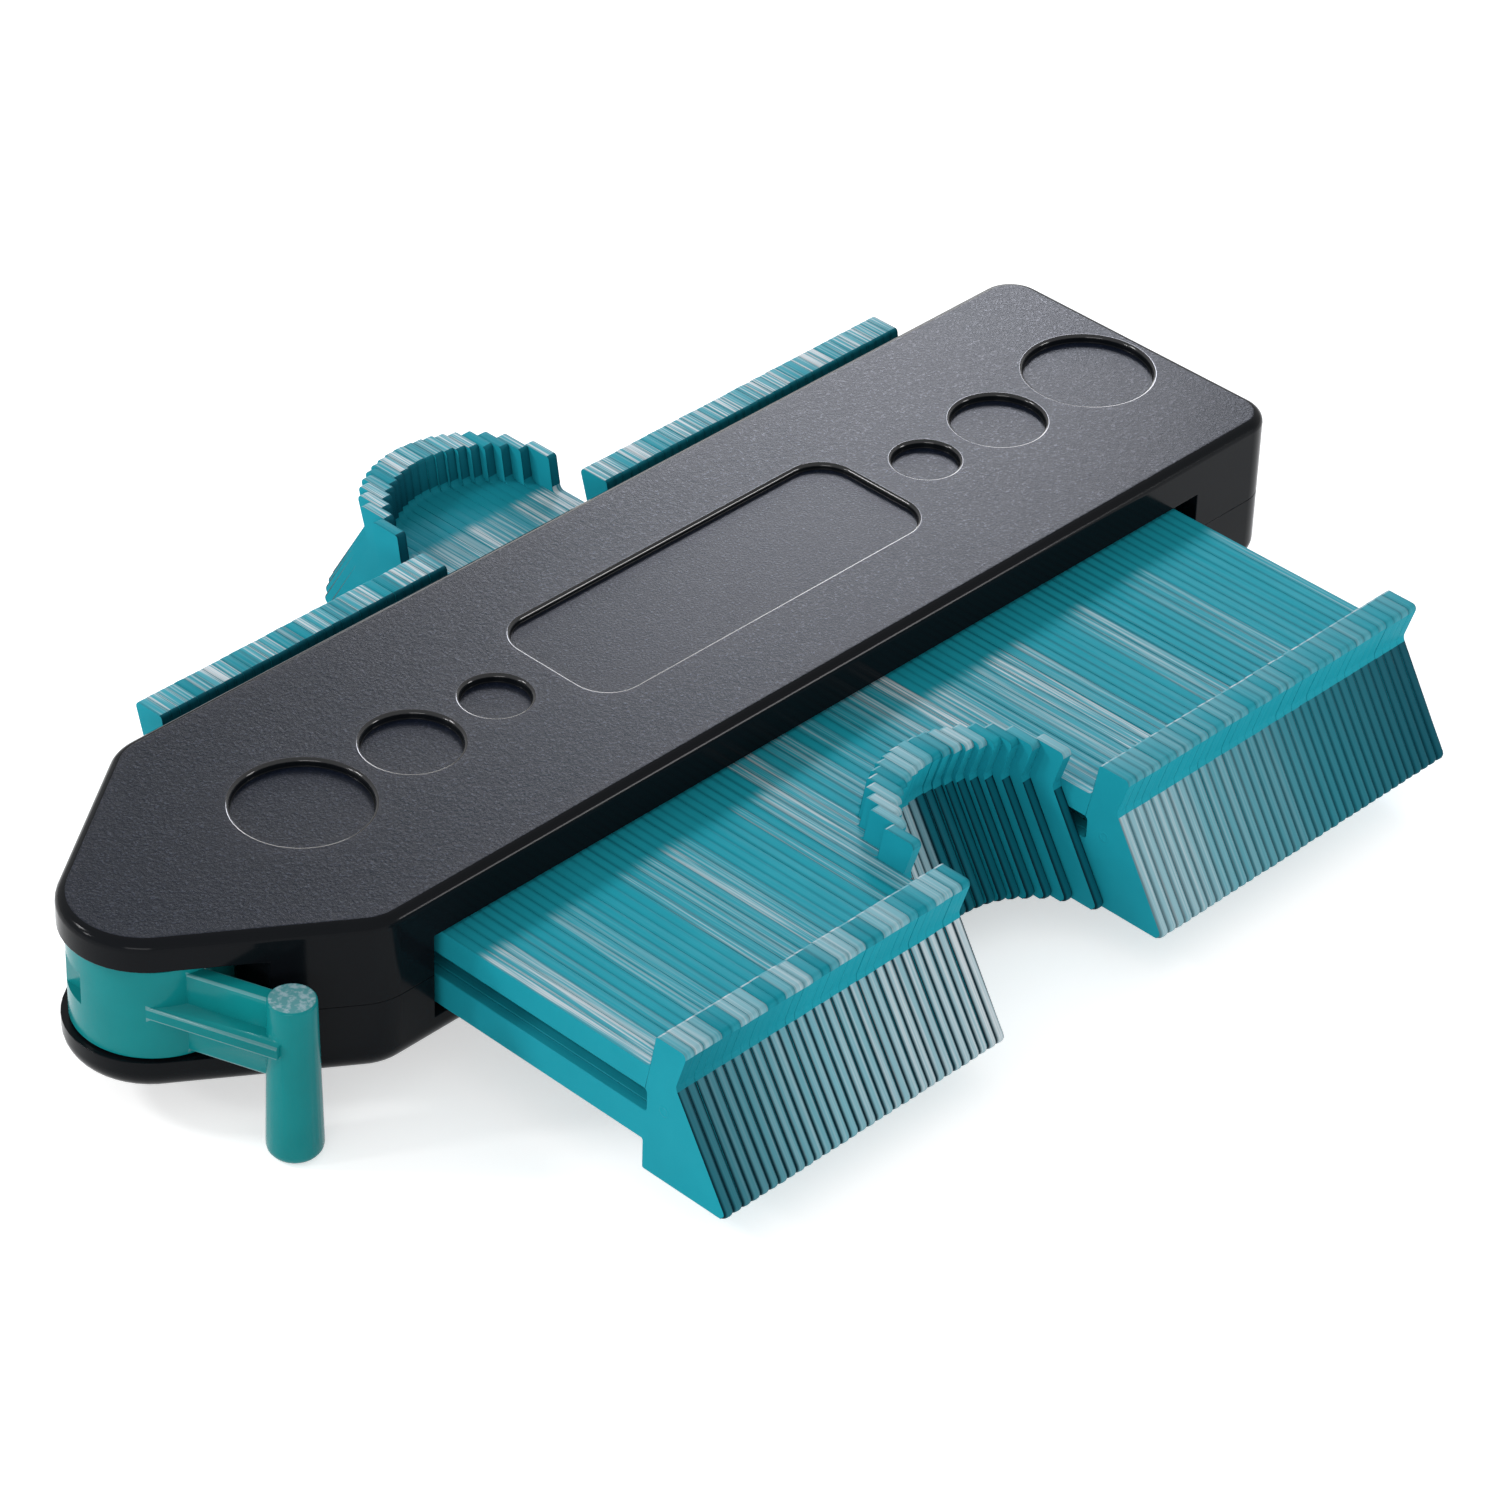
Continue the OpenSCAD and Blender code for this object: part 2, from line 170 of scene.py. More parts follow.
def studio():
    """White surroundings, a key light behind each end, cards for edge glints and a floor."""
    panel_light("left_key", (-0.50, 0.50, 0.505), 0.13, 0.13, 2.0)
    panel_light("right_key", (0.476, 0.403, 0.360), 0.16, 0.16, 1.5, (0.86, 0.89, 1.0))
    panel_light("lever_card", (-0.787, 0.39, 0.39), 0.09, 0.09, 1.0)
    panel_light("rim_card", (0.619, 0.688, 0.234), 0.36, 0.22, 1.5)
    panel_light("front_card", (0.47, -0.70, 0.12), 0.20, 0.14, 1.7)
    panel_light("left_fill", (-0.80, -0.56, 0.26), 0.50, 0.18, 1.9)
    world = bpy.data.worlds.new("studio_world")
    world.use_nodes = True
    shading = Shading(world.node_tree)
    background = world.node_tree.nodes["Background"]
    background.inputs["Color"].default_value = (1, 1, 1, 1)
    strength = shading.spread(seen_rays(shading), 0.62, 1.0)
    shading.put(background.inputs["Strength"], strength)
    bpy.context.scene.world = world
    floor_mesh = bpy.data.meshes.new("studio_floor")
    level = cad_low.z - FLOOR_GAP
    directions = [(-1, -1), (1, -1), (1, 1), (-1, 1)]
    corners = [(x * FLOOR_HALF, y * FLOOR_HALF, level) for x, y in directions]
    floor_mesh.from_pydata(corners, [], [(0, 1, 2, 3)])
    floor = bpy.data.objects.new("studio_floor", floor_mesh)
    bpy.context.scene.collection.objects.link(floor)
    floor_mesh.materials.append(floor_paper())


def floor_paper():
    """White paper floor, lifted to white where it is seen, with a soft shadow; clear from below."""
    material, shader, shading = new_material("floor_paper")
    shader.inputs["Base Color"].default_value = (0.90, 0.90, 0.90, 1)
    shader.inputs["Roughness"].default_value = 0.9
    shader.inputs["Specular IOR Level"].default_value = 0.0
    shader.inputs["Emission Color"].default_value = (1, 1, 1, 1)
    glow = shading.math("MULTIPLY", seen_rays(shading), 0.52)
    shading.put(shader.inputs["Emission Strength"], glow)
    from_below = shading.add("NewGeometry").outputs["Backfacing"]
    shading.put(shader.inputs["Alpha"], shading.math("SUBTRACT", 1.0, from_below))
    return material


def seen_rays(shading):
    """1 for camera, mirror and see-through rays, 0 for rays that only carry light."""
    path = shading.add("LightPath")
    seen = shading.math("MAXIMUM", path.outputs["Is Camera Ray"], path.outputs["Is Transmission Ray"])
    return shading.math("MAXIMUM", seen, path.outputs["Is Glossy Ray"])


class Shading:
    """A node tree with short ways to add nodes and join their sockets."""

    def __init__(self, tree):
        self.nodes = tree.nodes
        self.links = tree.links

    def add(self, kind, inputs=None, **settings):
        """Adds a node; inputs are values or sockets by input name or number."""
        node = self.nodes.new("ShaderNode" + kind)
        for name, value in settings.items():
            setattr(node, name, value)
        for name, value in (inputs or {}).items():
            self.put(node.inputs[name], value)
        return node

    def put(self, socket, value):
        """Links a socket or sets a value on an input."""
        if isinstance(value, bpy.types.NodeSocket):
            self.links.new(value, socket)
        else:
            socket.default_value = value

    def scaled(self, vector, scale):
        """Coordinates multiplied by one number per axis."""
        mapping = self.add("Mapping", {"Vector": vector})
        mapping.inputs["Scale"].default_value = scale
        return mapping.outputs["Vector"]

    def noise(self, vector, scale, detail=3.0, roughness=0.5):
        """Noise value from 0 to 1."""
        node = self.add(
            "TexNoise",
            {"Vector": vector, "Scale": scale, "Detail": detail, "Roughness": roughness},
        )
        return node.outputs["Fac"]

    def stored(self, name):
        """A value kept on the mesh under a name."""
        return self.add("Attribute", attribute_name=name).outputs["Fac"]

    def math(self, operation, first, second=0.0, clamp=False):
        """One operation on two values."""
        node = self.add("Math", {0: first, 1: second}, operation=operation)
        node.use_clamp = clamp
        return node.outputs[0]

    def between(self, value, low, high, to_low=0.0, to_high=1.0):
        """A value carried from one range to another, with soft ends and no overrun."""
        node = self.add(
            "MapRange",
            {"Value": value, "From Min": low, "From Max": high, "To Min": to_low, "To Max": to_high},
            interpolation_type="SMOOTHSTEP",
        )
        return node.outputs["Result"]

    def spread(self, mask, low, high):
        """A value that goes from low to high as a mask goes from 0 to 1."""
        return self.between(mask, 0.0, 1.0, low, high)

    def mix(self, factor, first, second):
        """Colour between two colours."""
        node = self.add("Mix", data_type="RGBA")
        self.put(node.inputs["Factor"], factor)
        self.put(node.inputs[6], first)
        self.put(node.inputs[7], second)
        return node.outputs[2]


def new_material(name):
    """A material with its shader and a way to add nodes to it."""
    material = bpy.data.materials.new(name)
    material.use_nodes = True
    return material, material.node_tree.nodes["Principled BSDF"], Shading(material.node_tree)


def moulded_grain_group():
    """Group: spark-eroded mould grain. Height and speckle values from Object coordinates."""
    tree = bpy.data.node_groups.new("moulded_grain", "ShaderNodeTree")
    tree.interface.new_socket("Vector", in_out="INPUT", socket_type="NodeSocketVector")
    tree.interface.new_socket("Grain Scale", in_out="INPUT", socket_type="NodeSocketFloat")
    tree.interface.new_socket("Height", in_out="OUTPUT", socket_type="NodeSocketFloat")
    tree.interface.new_socket("Speckle", in_out="OUTPUT", socket_type="NodeSocketFloat")
    shading = Shading(tree)
    start = tree.nodes.new("NodeGroupInput")
    end = tree.nodes.new("NodeGroupOutput")
    fine = shading.noise(start.outputs["Vector"], start.outputs["Grain Scale"], 4.0, 0.65)
    wide_scale = shading.math("MULTIPLY", start.outputs["Grain Scale"], 0.31)
    wide = shading.noise(start.outputs["Vector"], wide_scale, 2.0)
    both = shading.math("ADD", fine, shading.math("MULTIPLY", wide, 0.5))
    tree.links.new(both, end.inputs["Height"])
    tree.links.new(shading.between(fine, 0.52, 0.72), end.inputs["Speckle"])
    return tree


def fine_scratch_group():
    """Group: a mask of thin rub marks, which run along one axis of Object coordinates."""
    tree = bpy.data.node_groups.new("fine_scratches", "ShaderNodeTree")
    tree.interface.new_socket("Vector", in_out="INPUT", socket_type="NodeSocketVector")
    tree.interface.new_socket("Scale", in_out="INPUT", socket_type="NodeSocketFloat")
    tree.interface.new_socket("Mask", in_out="OUTPUT", socket_type="NodeSocketFloat")
    shading = Shading(tree)
    start = tree.nodes.new("NodeGroupInput")
    end = tree.nodes.new("NodeGroupOutput")
    lines = shading.noise(start.outputs["Vector"], start.outputs["Scale"], 2.0, 0.6)
    tree.links.new(shading.between(lines, 0.38, 0.70), end.inputs["Mask"])
    return tree


GRAIN = moulded_grain_group()
SCRATCHES = fine_scratch_group()


def placed_group(shading, tree, **inputs):
    """A group node with its inputs set."""
    node = shading.nodes.new("ShaderNodeGroup")
    node.node_tree = tree
    for name, value in inputs.items():
        shading.put(node.inputs[name.replace("_", " ").title()], value)
    return node


def bump(shading, shader, height, strength, distance):
    """Bump from a height value into the shader's normal."""
    node = shading.add("Bump", {"Height": height, "Strength": strength, "Distance": distance})
    shading.links.new(node.outputs["Normal"], shader.inputs["Normal"])


def housing_plastic():
    """Blue-black plastic: grained on the flat top, smooth on edges and walls, bright on rims."""
    material, shader, shading = new_material("housing_plastic_grained")
    place = shading.add("TexCoord").outputs["Object"]
    grain = placed_group(shading, GRAIN, vector=place, grain_scale=3200.0)
    grained = shading.stored("grained")
    speckle = shading.math("MULTIPLY", grain.outputs["Speckle"], grained)
    cloud = shading.noise(place, 60.0, 3.0)
    dark = shading.mix(cloud, (0.003, 0.004, 0.005, 1), (0.005, 0.006, 0.008, 1))
    top = shading.mix(cloud, (0.003, 0.005, 0.011, 1), (0.005, 0.008, 0.016, 1))
    base = shading.mix(grained, dark, top)
    colour = shading.mix(speckle, base, (0.016, 0.021, 0.040, 1))
    shading.put(shader.inputs["Base Color"], colour)
    shader.inputs["Specular IOR Level"].default_value = 0.07
    rough = shading.spread(grained, 0.13, 0.30)
    varied = shading.math("ADD", rough, shading.math("MULTIPLY", cloud, 0.02))
    shading.put(shader.inputs["Roughness"], varied)
    rim = shading.stored("rim")
    skin = shading.spread(grain.outputs["Speckle"], 0.08, 0.32)
    skin_gloss = shading.math("MULTIPLY", grained, skin)
    rim_gloss = shading.math("MULTIPLY", rim, 0.7)
    shading.put(shader.inputs["Coat Weight"], shading.math("MAXIMUM", skin_gloss, rim_gloss))
    shading.put(shader.inputs["Coat Roughness"], shading.spread(rim, 0.24, 0.12))
    depth = shading.spread(grained, 0.04, 1.0)
    relief = shading.math("MULTIPLY", grain.outputs["Height"], depth)
    bump(shading, shader, relief, strength=0.6, distance=0.08 * MM)
    return material


def lamella_plastic():
    """Teal plastic: clean on the broad sides, pale in streaks and darkened on the narrow faces.

    The pale streaks are partly wear from rubbing and partly painted sheen. They reach the heads,
    the front of the bars beyond the strip in the housing's shadow, which they leave plain as a
    painted shadow, and, in the resting stack, a strip of the back bars beside the housing, which
    is a painted lit strip. The darkening is mostly painted shade, partly soiling. The narrow faces
    go dark towards the gaps between lamellae, painted shade with some dirt, and the heads carry a
    small round ejector mark.
    """
    material, shader, shading = new_material("lamella_plastic_teal")
    coordinates = shading.add("TexCoord").outputs["Object"]
    pale = shading.stored("pale")
    shade_and_soil = shading.stored("shade_and_soil")
    along = shading.stored("along")
    outwards = shading.math("ABSOLUTE", along)
    across = shading.math("ABSOLUTE", shading.stored("across"))
    axes = shading.add("SeparateXYZ", {0: coordinates})
    lengthwise = shading.scaled(coordinates, (1.0, 0.014, 0.014))
    streak_lines = placed_group(shading, SCRATCHES, vector=lengthwise, scale=3400.0).outputs["Mask"]
    cloud = shading.noise(coordinates, 180.0, 3.0)
    on_heads = shading.between(outwards, LIP_INNER_HALF - 0.3 * MM, LIP_INNER_HALF)
    # A strip of the back bars beside the housing, made pale: a painted lit strip.
    near_housing = shading.between(axes.outputs["Y"], 34.0 * MM, 32.0 * MM)
    back_half = shading.between(along, 0.0, 1.0 * MM)
    lit_strip_by_housing = shading.math("MULTIPLY", near_housing, back_half)
    # Front bars beyond the strip in the housing's shadow; streaks stop short of it, a painted shadow.
    front_bars_out_of_shadow = shading.between(along, -11.5 * MM, -14.0 * MM)
    on_bars = shading.math("MAXIMUM", front_bars_out_of_shadow, lit_strip_by_housing)
    streak_zone = shading.math("MAXIMUM", on_bars, on_heads)
    on_front_heads = shading.between(along, 0.3 * MM - LIP_INNER_HALF, -LIP_INNER_HALF)
    least = shading.spread(on_front_heads, 0.08, 0.45)
    most = shading.spread(on_front_heads, 1.0, 0.75)
    streak = shading.math("MULTIPLY", shading.spread(streak_lines, least, most), streak_zone)
    amount = shading.math("MULTIPLY", pale, streak, clamp=True)
    teal = shading.mix(cloud, (0.010, 0.280, 0.355, 1), (0.014, 0.320, 0.400, 1))
    # Dark teal where the narrow faces are darkened: mostly painted shade, partly soiling.
    shaded_soiled_teal = shading.mix(shade_and_soil, teal, (0.003, 0.075, 0.105, 1))
    # Pale colour of the streaks: wear and painted sheen.
    pale_streaked_teal = shading.mix(amount, shaded_soiled_teal, (0.56, 0.62, 0.65, 1))
    # The narrow faces darken towards the gaps between lamellae: painted shade, with some dirt.
    by_gap = shading.between(across, 0.4, 0.95)
    gap_shade_and_grime = shading.math("MULTIPLY", by_gap, shading.stored("gap_shade_and_grime"))
    colour = shading.mix(gap_shade_and_grime, pale_streaked_teal, (0.001, 0.020, 0.030, 1))
    shading.put(shader.inputs["Base Color"], colour)
    shader.inputs["Specular IOR Level"].default_value = 0.03
    shading.put(shader.inputs["Roughness"], shading.spread(streak_lines, 0.40, 0.55))
    side = shading.math("SUBTRACT", outwards, EJECTOR_ALONG)
    up = shading.math("SUBTRACT", axes.outputs["Z"], EJECTOR_HEIGHT)
    side_square = shading.math("MULTIPLY", side, side)
    up_square = shading.math("MULTIPLY", up, up)
    distance = shading.math("SQRT", shading.math("ADD", side_square, up_square))
    outside = shading.between(distance, 0.35 * MM, 0.5 * MM)
    inside = shading.between(distance, 0.75 * MM, 0.6 * MM)
    mark = shading.math("MULTIPLY", outside, inside)
    skin = shading.math("ADD", streak_lines, cloud)
    relief = shading.math("ADD", skin, shading.math("MULTIPLY", mark, 8.0))
    bump(shading, shader, relief, strength=0.3, distance=0.03 * MM)
    return material


def lever_plastic():
    """Glossy green-teal plastic of the lever, worn pale on the top of the grip pin, glossier on edges,
    whose pale tint is a painted highlight.
    """
    material, shader, shading = new_material("lever_plastic_teal")
    place = shading.add("TexCoord").outputs["Object"]
    axes = shading.add("SeparateXYZ", {0: place})
    on_pin = shading.between(axes.outputs["Y"], -14.0 * MM, -16.0 * MM)
    cloud = shading.noise(place, 220.0, 3.0)
    streak_lines = placed_group(shading, SCRATCHES, vector=place, scale=1500.0).outputs["Mask"]
    at_top = shading.between(axes.outputs["Z"], GRIP_TOP - 0.1 * MM, GRIP_TOP - 0.02 * MM)
    pin_top = shading.math("MULTIPLY", at_top, on_pin)
    worn = shading.math("MULTIPLY", pin_top, shading.spread(streak_lines, 0.2, 0.65))
    rim = shading.stored("rim")
    # Edges tinted pale: a painted highlight, with the worn pin top.
    pale = shading.math("MAXIMUM", worn, shading.math("MULTIPLY", rim, 0.12))
    teal = shading.mix(cloud, (0.004, 0.195, 0.205, 1), (0.006, 0.235, 0.245, 1))
    shading.put(shader.inputs["Base Color"], shading.mix(pale, teal, (0.42, 0.52, 0.58, 1)))
    shader.inputs["Specular IOR Level"].default_value = 0.10
    shading.put(shader.inputs["Roughness"], shading.between(cloud, 0.2, 0.8, 0.16, 0.22))
    shading.put(shader.inputs["Coat Weight"], rim)
    shader.inputs["Coat Roughness"].default_value = 0.2
    bump(shading, shader, cloud, strength=0.15, distance=0.03 * MM)
    return material


def inner_plastic():
    """Plain black moulded plastic of the clamp slider and the end stop."""
    material, shader, shading = new_material("inner_plastic_black")
    place = shading.add("TexCoord").outputs["Object"]
    grain = placed_group(shading, GRAIN, vector=place, grain_scale=1600.0)
    cloud = shading.noise(place, 150.0, 2.0)
    colour = shading.mix(cloud, (0.012, 0.013, 0.014, 1), (0.024, 0.025, 0.028, 1))
    shading.put(shader.inputs["Base Color"], colour)
    shading.put(shader.inputs["Roughness"], shading.spread(grain.outputs["Speckle"], 0.45, 0.6))
    bump(shading, shader, grain.outputs["Height"], strength=0.2, distance=0.03 * MM)
    return material


def plated_steel():
    """Zinc plated steel with fine drawing lines."""
    material, shader, shading = new_material("plated_steel")
    place = shading.add("TexCoord").outputs["Object"]
    drawn = shading.scaled(place, (0.08, 1.0, 1.0))
    lines = placed_group(shading, SCRATCHES, vector=drawn, scale=4000.0).outputs["Mask"]
    cloud = shading.noise(place, 400.0, 3.0)
    colour = shading.mix(cloud, (0.48, 0.49, 0.50, 1), (0.64, 0.65, 0.66, 1))
    shading.put(shader.inputs["Base Color"], colour)
    shader.inputs["Metallic"].default_value = 1.0
    shading.put(shader.inputs["Roughness"], shading.spread(lines, 0.24, 0.42))
    bump(shading, shader, lines, strength=0.15, distance=0.02 * MM)
    return material


# Corners of the right half of a lamella: along, height, rounding and the face that leads to it
BAR, HEEL, SLOPE, LIP_FRONT, LIP_TOP, LIP_BACK = range(6)
BACK, FRONT = range(2)
LAMELLA_CORNERS = [
    (HEEL_HALF, BAR_BOTTOM, 0.3 * MM, BAR),
    (HEEL_HALF, HEAD_BOTTOM, 0.3 * MM, HEEL),
    (TIP_HALF, HEAD_BOTTOM, 0.8 * MM, HEEL),
    (NOTCH_HALF, NOTCH_HEIGHT, 1.2 * MM, SLOPE),
    (LIP_HALF, HEAD_TOP, 0.6 * MM, LIP_FRONT),
    (LIP_INNER_HALF, HEAD_TOP, 0.45 * MM, LIP_TOP),
    (BAR_HALF, BAR_TOP, 0.8 * MM, LIP_BACK),
]
ARC_STEPS = 5

# By face of the lamella, in the order of its names above
EDGE_ROUNDING = np.array([0.025, 0.06, 0.30, 0.01, 0.04, 0.03]) * MM
# Darkness beside the gaps between lamellae, by face: painted shade, with some dirt.
GAP_SHADE_AND_GRIME = np.array([0.32, 0.3, 1.0, 0.0, 0.25, 0.2])

# Section of a lamella: shares of its half thickness, and how far the edges fall away there
FACE_SHARE = np.array([-1, -0.8, -0.45, 0, 0.45, 0.8, 1])
FACE_FALL = np.array([1, 0.38, 0.08, 0, 0.08, 0.38, 1])
SLOT_SHARE = np.array([1, 0.88, -0.88, -1])
SLOT_FALL = np.array([0.08, 0, 0, 0.08]) * MM


def rounded_corner(before, corner, after, radius):
    """Points of the arc that rounds a corner.

    The arc starts and ends a tangent length from the corner, radius over the tangent of half
    the corner's angle, and its points are turned about its centre in equal steps.
    """
    back = (before - corner) / np.linalg.norm(before - corner)
    on = (after - corner) / np.linalg.norm(after - corner)
    half_angle = math.acos(back @ on) / 2
    bisector = (back + on) / np.linalg.norm(back + on)
    centre = corner + bisector * radius / math.sin(half_angle)
    start = corner + back * radius / math.tan(half_angle) - centre
    left_turn = on[0] * back[1] - on[1] * back[0] > 0
    sweep = (math.pi - 2 * half_angle) * (1 if left_turn else -1)
    angles = np.linspace(0, sweep, ARC_STEPS)
    turned = np.stack([
        start[0] * np.cos(angles) - start[1] * np.sin(angles),
        start[0] * np.sin(angles) + start[1] * np.cos(angles),
    ], 1)
    return centre + turned


def lamella_outline():
    """Outer outline of a lamella, its matching slot outline, and the face after each point.

    The right half runs from the middle of the underside round the head to the middle of the
    top, and the left half is its mirror image. Each outer point has a partner on the slot,
    whose end is two quarter circles.
    """
    corners = np.array([corner[:2] for corner in LAMELLA_CORNERS])
    ends = np.vstack([[[0, BAR_BOTTOM]], corners, [[0, BAR_TOP]]])
    arcs = [
        rounded_corner(ends[place], ends[place + 1], ends[place + 2], row[2])
        for place, row in enumerate(LAMELLA_CORNERS)
    ]
    outer = np.vstack([ends[:1], *arcs, ends[-1:]])
    kinds = np.array([row[3] for row in LAMELLA_CORNERS] + [BAR])
    kind = np.concatenate([kinds[:1], np.repeat(kinds[1:], ARC_STEPS)])
    share = np.linspace(0, 1, len(outer) - 2)
    lower = share < 0.5
    angle = (share - 0.5) * math.pi
    middle = np.where(lower, SLOT_BOTTOM + SLOT_CORNER, SLOT_TOP - SLOT_CORNER)
    end = np.stack([
        SLOT_HALF - SLOT_CORNER + SLOT_CORNER * np.cos(angle),
        middle + SLOT_CORNER * np.sin(angle),
    ], 1)
    slot = np.vstack([[[0, SLOT_BOTTOM]], end, [[0, SLOT_TOP]]])
    flip = np.array([-1, 1])
    outer = np.vstack([outer, (outer * flip)[-2:0:-1]])
    slot = np.vstack([slot, (slot * flip)[-2:0:-1]])
    return outer, slot, np.concatenate([kind, kind[::-1]])


def inward(outline):
    """For each point of an outline, the step that moves both its sides inwards by one unit."""
    ahead = np.roll(outline, -1, 0) - outline
    ahead = ahead / np.linalg.norm(ahead, axis=1, keepdims=True)
    normal = np.stack([-ahead[:, 1], ahead[:, 0]], 1)
    both = normal + np.roll(normal, 1, 0)
    return both * 2 / np.maximum((both * both).sum(1, keepdims=True), 0.8)


def along_stack(*stops):
    """One value for each lamella, which runs straight between (number, value) stops."""
    numbers, values = zip(*stops)
    return np.interp(np.arange(STACK_COUNT), numbers, values)


def stack_tones():
    """How pale each lamella is, how dark it is, and how dark its gaps are.

    Each result has one row for the back and the front, and in it one row for each face. Pale
    stands for wear and painted sheen, the darkening mostly for painted shade, and the darkness of
    the gaps for painted shade with some dirt. Bars go pale in groups of a few lamellae and lips in
    even patches. The sloping tips are palest next to the kept outline, darker inside it, where the
    darkening is painted shade, and darker towards both ends of the stack.
    """
    number = np.arange(STACK_COUNT)
    left = number < LAST_GROUP_START
    drift = np.convolve(RANDOM.normal(0, 1, STACK_COUNT + 4), np.ones(5) / 5, "valid")
    spread = RANDOM.uniform(-0.5, 0.5, (2, 6, STACK_COUNT))
    wave = np.sin(number * 1.15)

    pale = np.zeros((2, 6, STACK_COUNT))
    # Bar tops pale in groups: partly wear, partly painted sheen.
    bar_pale = along_stack((0, 0.58), (45, 0.50), (62, 0.34), (87, 0.08))
    pale[:, BAR] = bar_pale + drift + 0.5 * spread[:, BAR]
    # Back bars paler; with the strip mask in the material this is a painted lit strip beside the
    # housing.
    pale[BACK, BAR] += 0.5
    pale[:, HEEL] = 0.1
    # Tips palest next to the kept outline and plain inside it: partly wear, partly painted sheen.
    slope_pale = along_stack(
        (0, 0.05), (5, 0.25), (13, 0.6), (31, 1.4), (36, 1.3), (39, 0.9), (41, 0), (50, 0),
        (51, 1.1), (62, 0.35), (74, 0.05), (87, 0),
    )
    pale[:, SLOPE] = slope_pale * (1 + 0.3 * spread[:, SLOPE])
    pale[FRONT, LIP_TOP] = np.where(left, 0.36 + 0.5 * wave, 0.16) + 0.3 * spread[FRONT, LIP_TOP]
    pale[BACK, LIP_TOP] = np.where(left, 0.6, 1.2) + 0.7 * wave + 1.2 * spread[BACK, LIP_TOP]
    # A dashed pale line on the front lips' back edges: a painted highlight.
    pale[FRONT, LIP_BACK] = 0.8 + 1.2 * spread[FRONT, LIP_BACK]

    shade_and_soil = np.zeros((2, 6, STACK_COUNT))
    # Tips: painted shade inside the kept outline, and darker towards both ends of the stack.
    shade_and_soil[:, SLOPE] = along_stack(
        (0, 0.8), (8, 0.35), (14, 0.05), (37, 0), (41, 0.8), (50, 0.8), (51, 0), (60, 0.15), (87, 1.0),
    )
    shade_and_soil[:, LIP_TOP] = np.where(left, -0.3 * wave, 0.1)
    # Front faces of the lips darker towards the nose end: painted shade.
    shade_and_soil[:, LIP_FRONT] = along_stack((0, 0.5), (14, 0))
    # Back bars and the back lips' faces towards the housing darker inside the back arc: painted shade.
    shade_and_soil[BACK, BAR] = 0.3
    shade_and_soil[BACK, LIP_BACK] = along_stack((32, 1.0), (38, 1.0), (42, 0.8))

    # Gap darkness: painted shade with some dirt; lighter on the last group's tips, almost none on the
    # back bars.
    gap = GAP_SHADE_AND_GRIME[None, :, None] * (1 + 0.9 * spread)
    gap[:, SLOPE] = np.where(left, 1.0, 0.55)
    gap[BACK, BAR] = 0.05
    return np.clip(pale, 0.0, 2.5), np.clip(shade_and_soil, 0.0, 1.0), gap


PALE, SHADE_AND_SOIL, GAP = stack_tones()


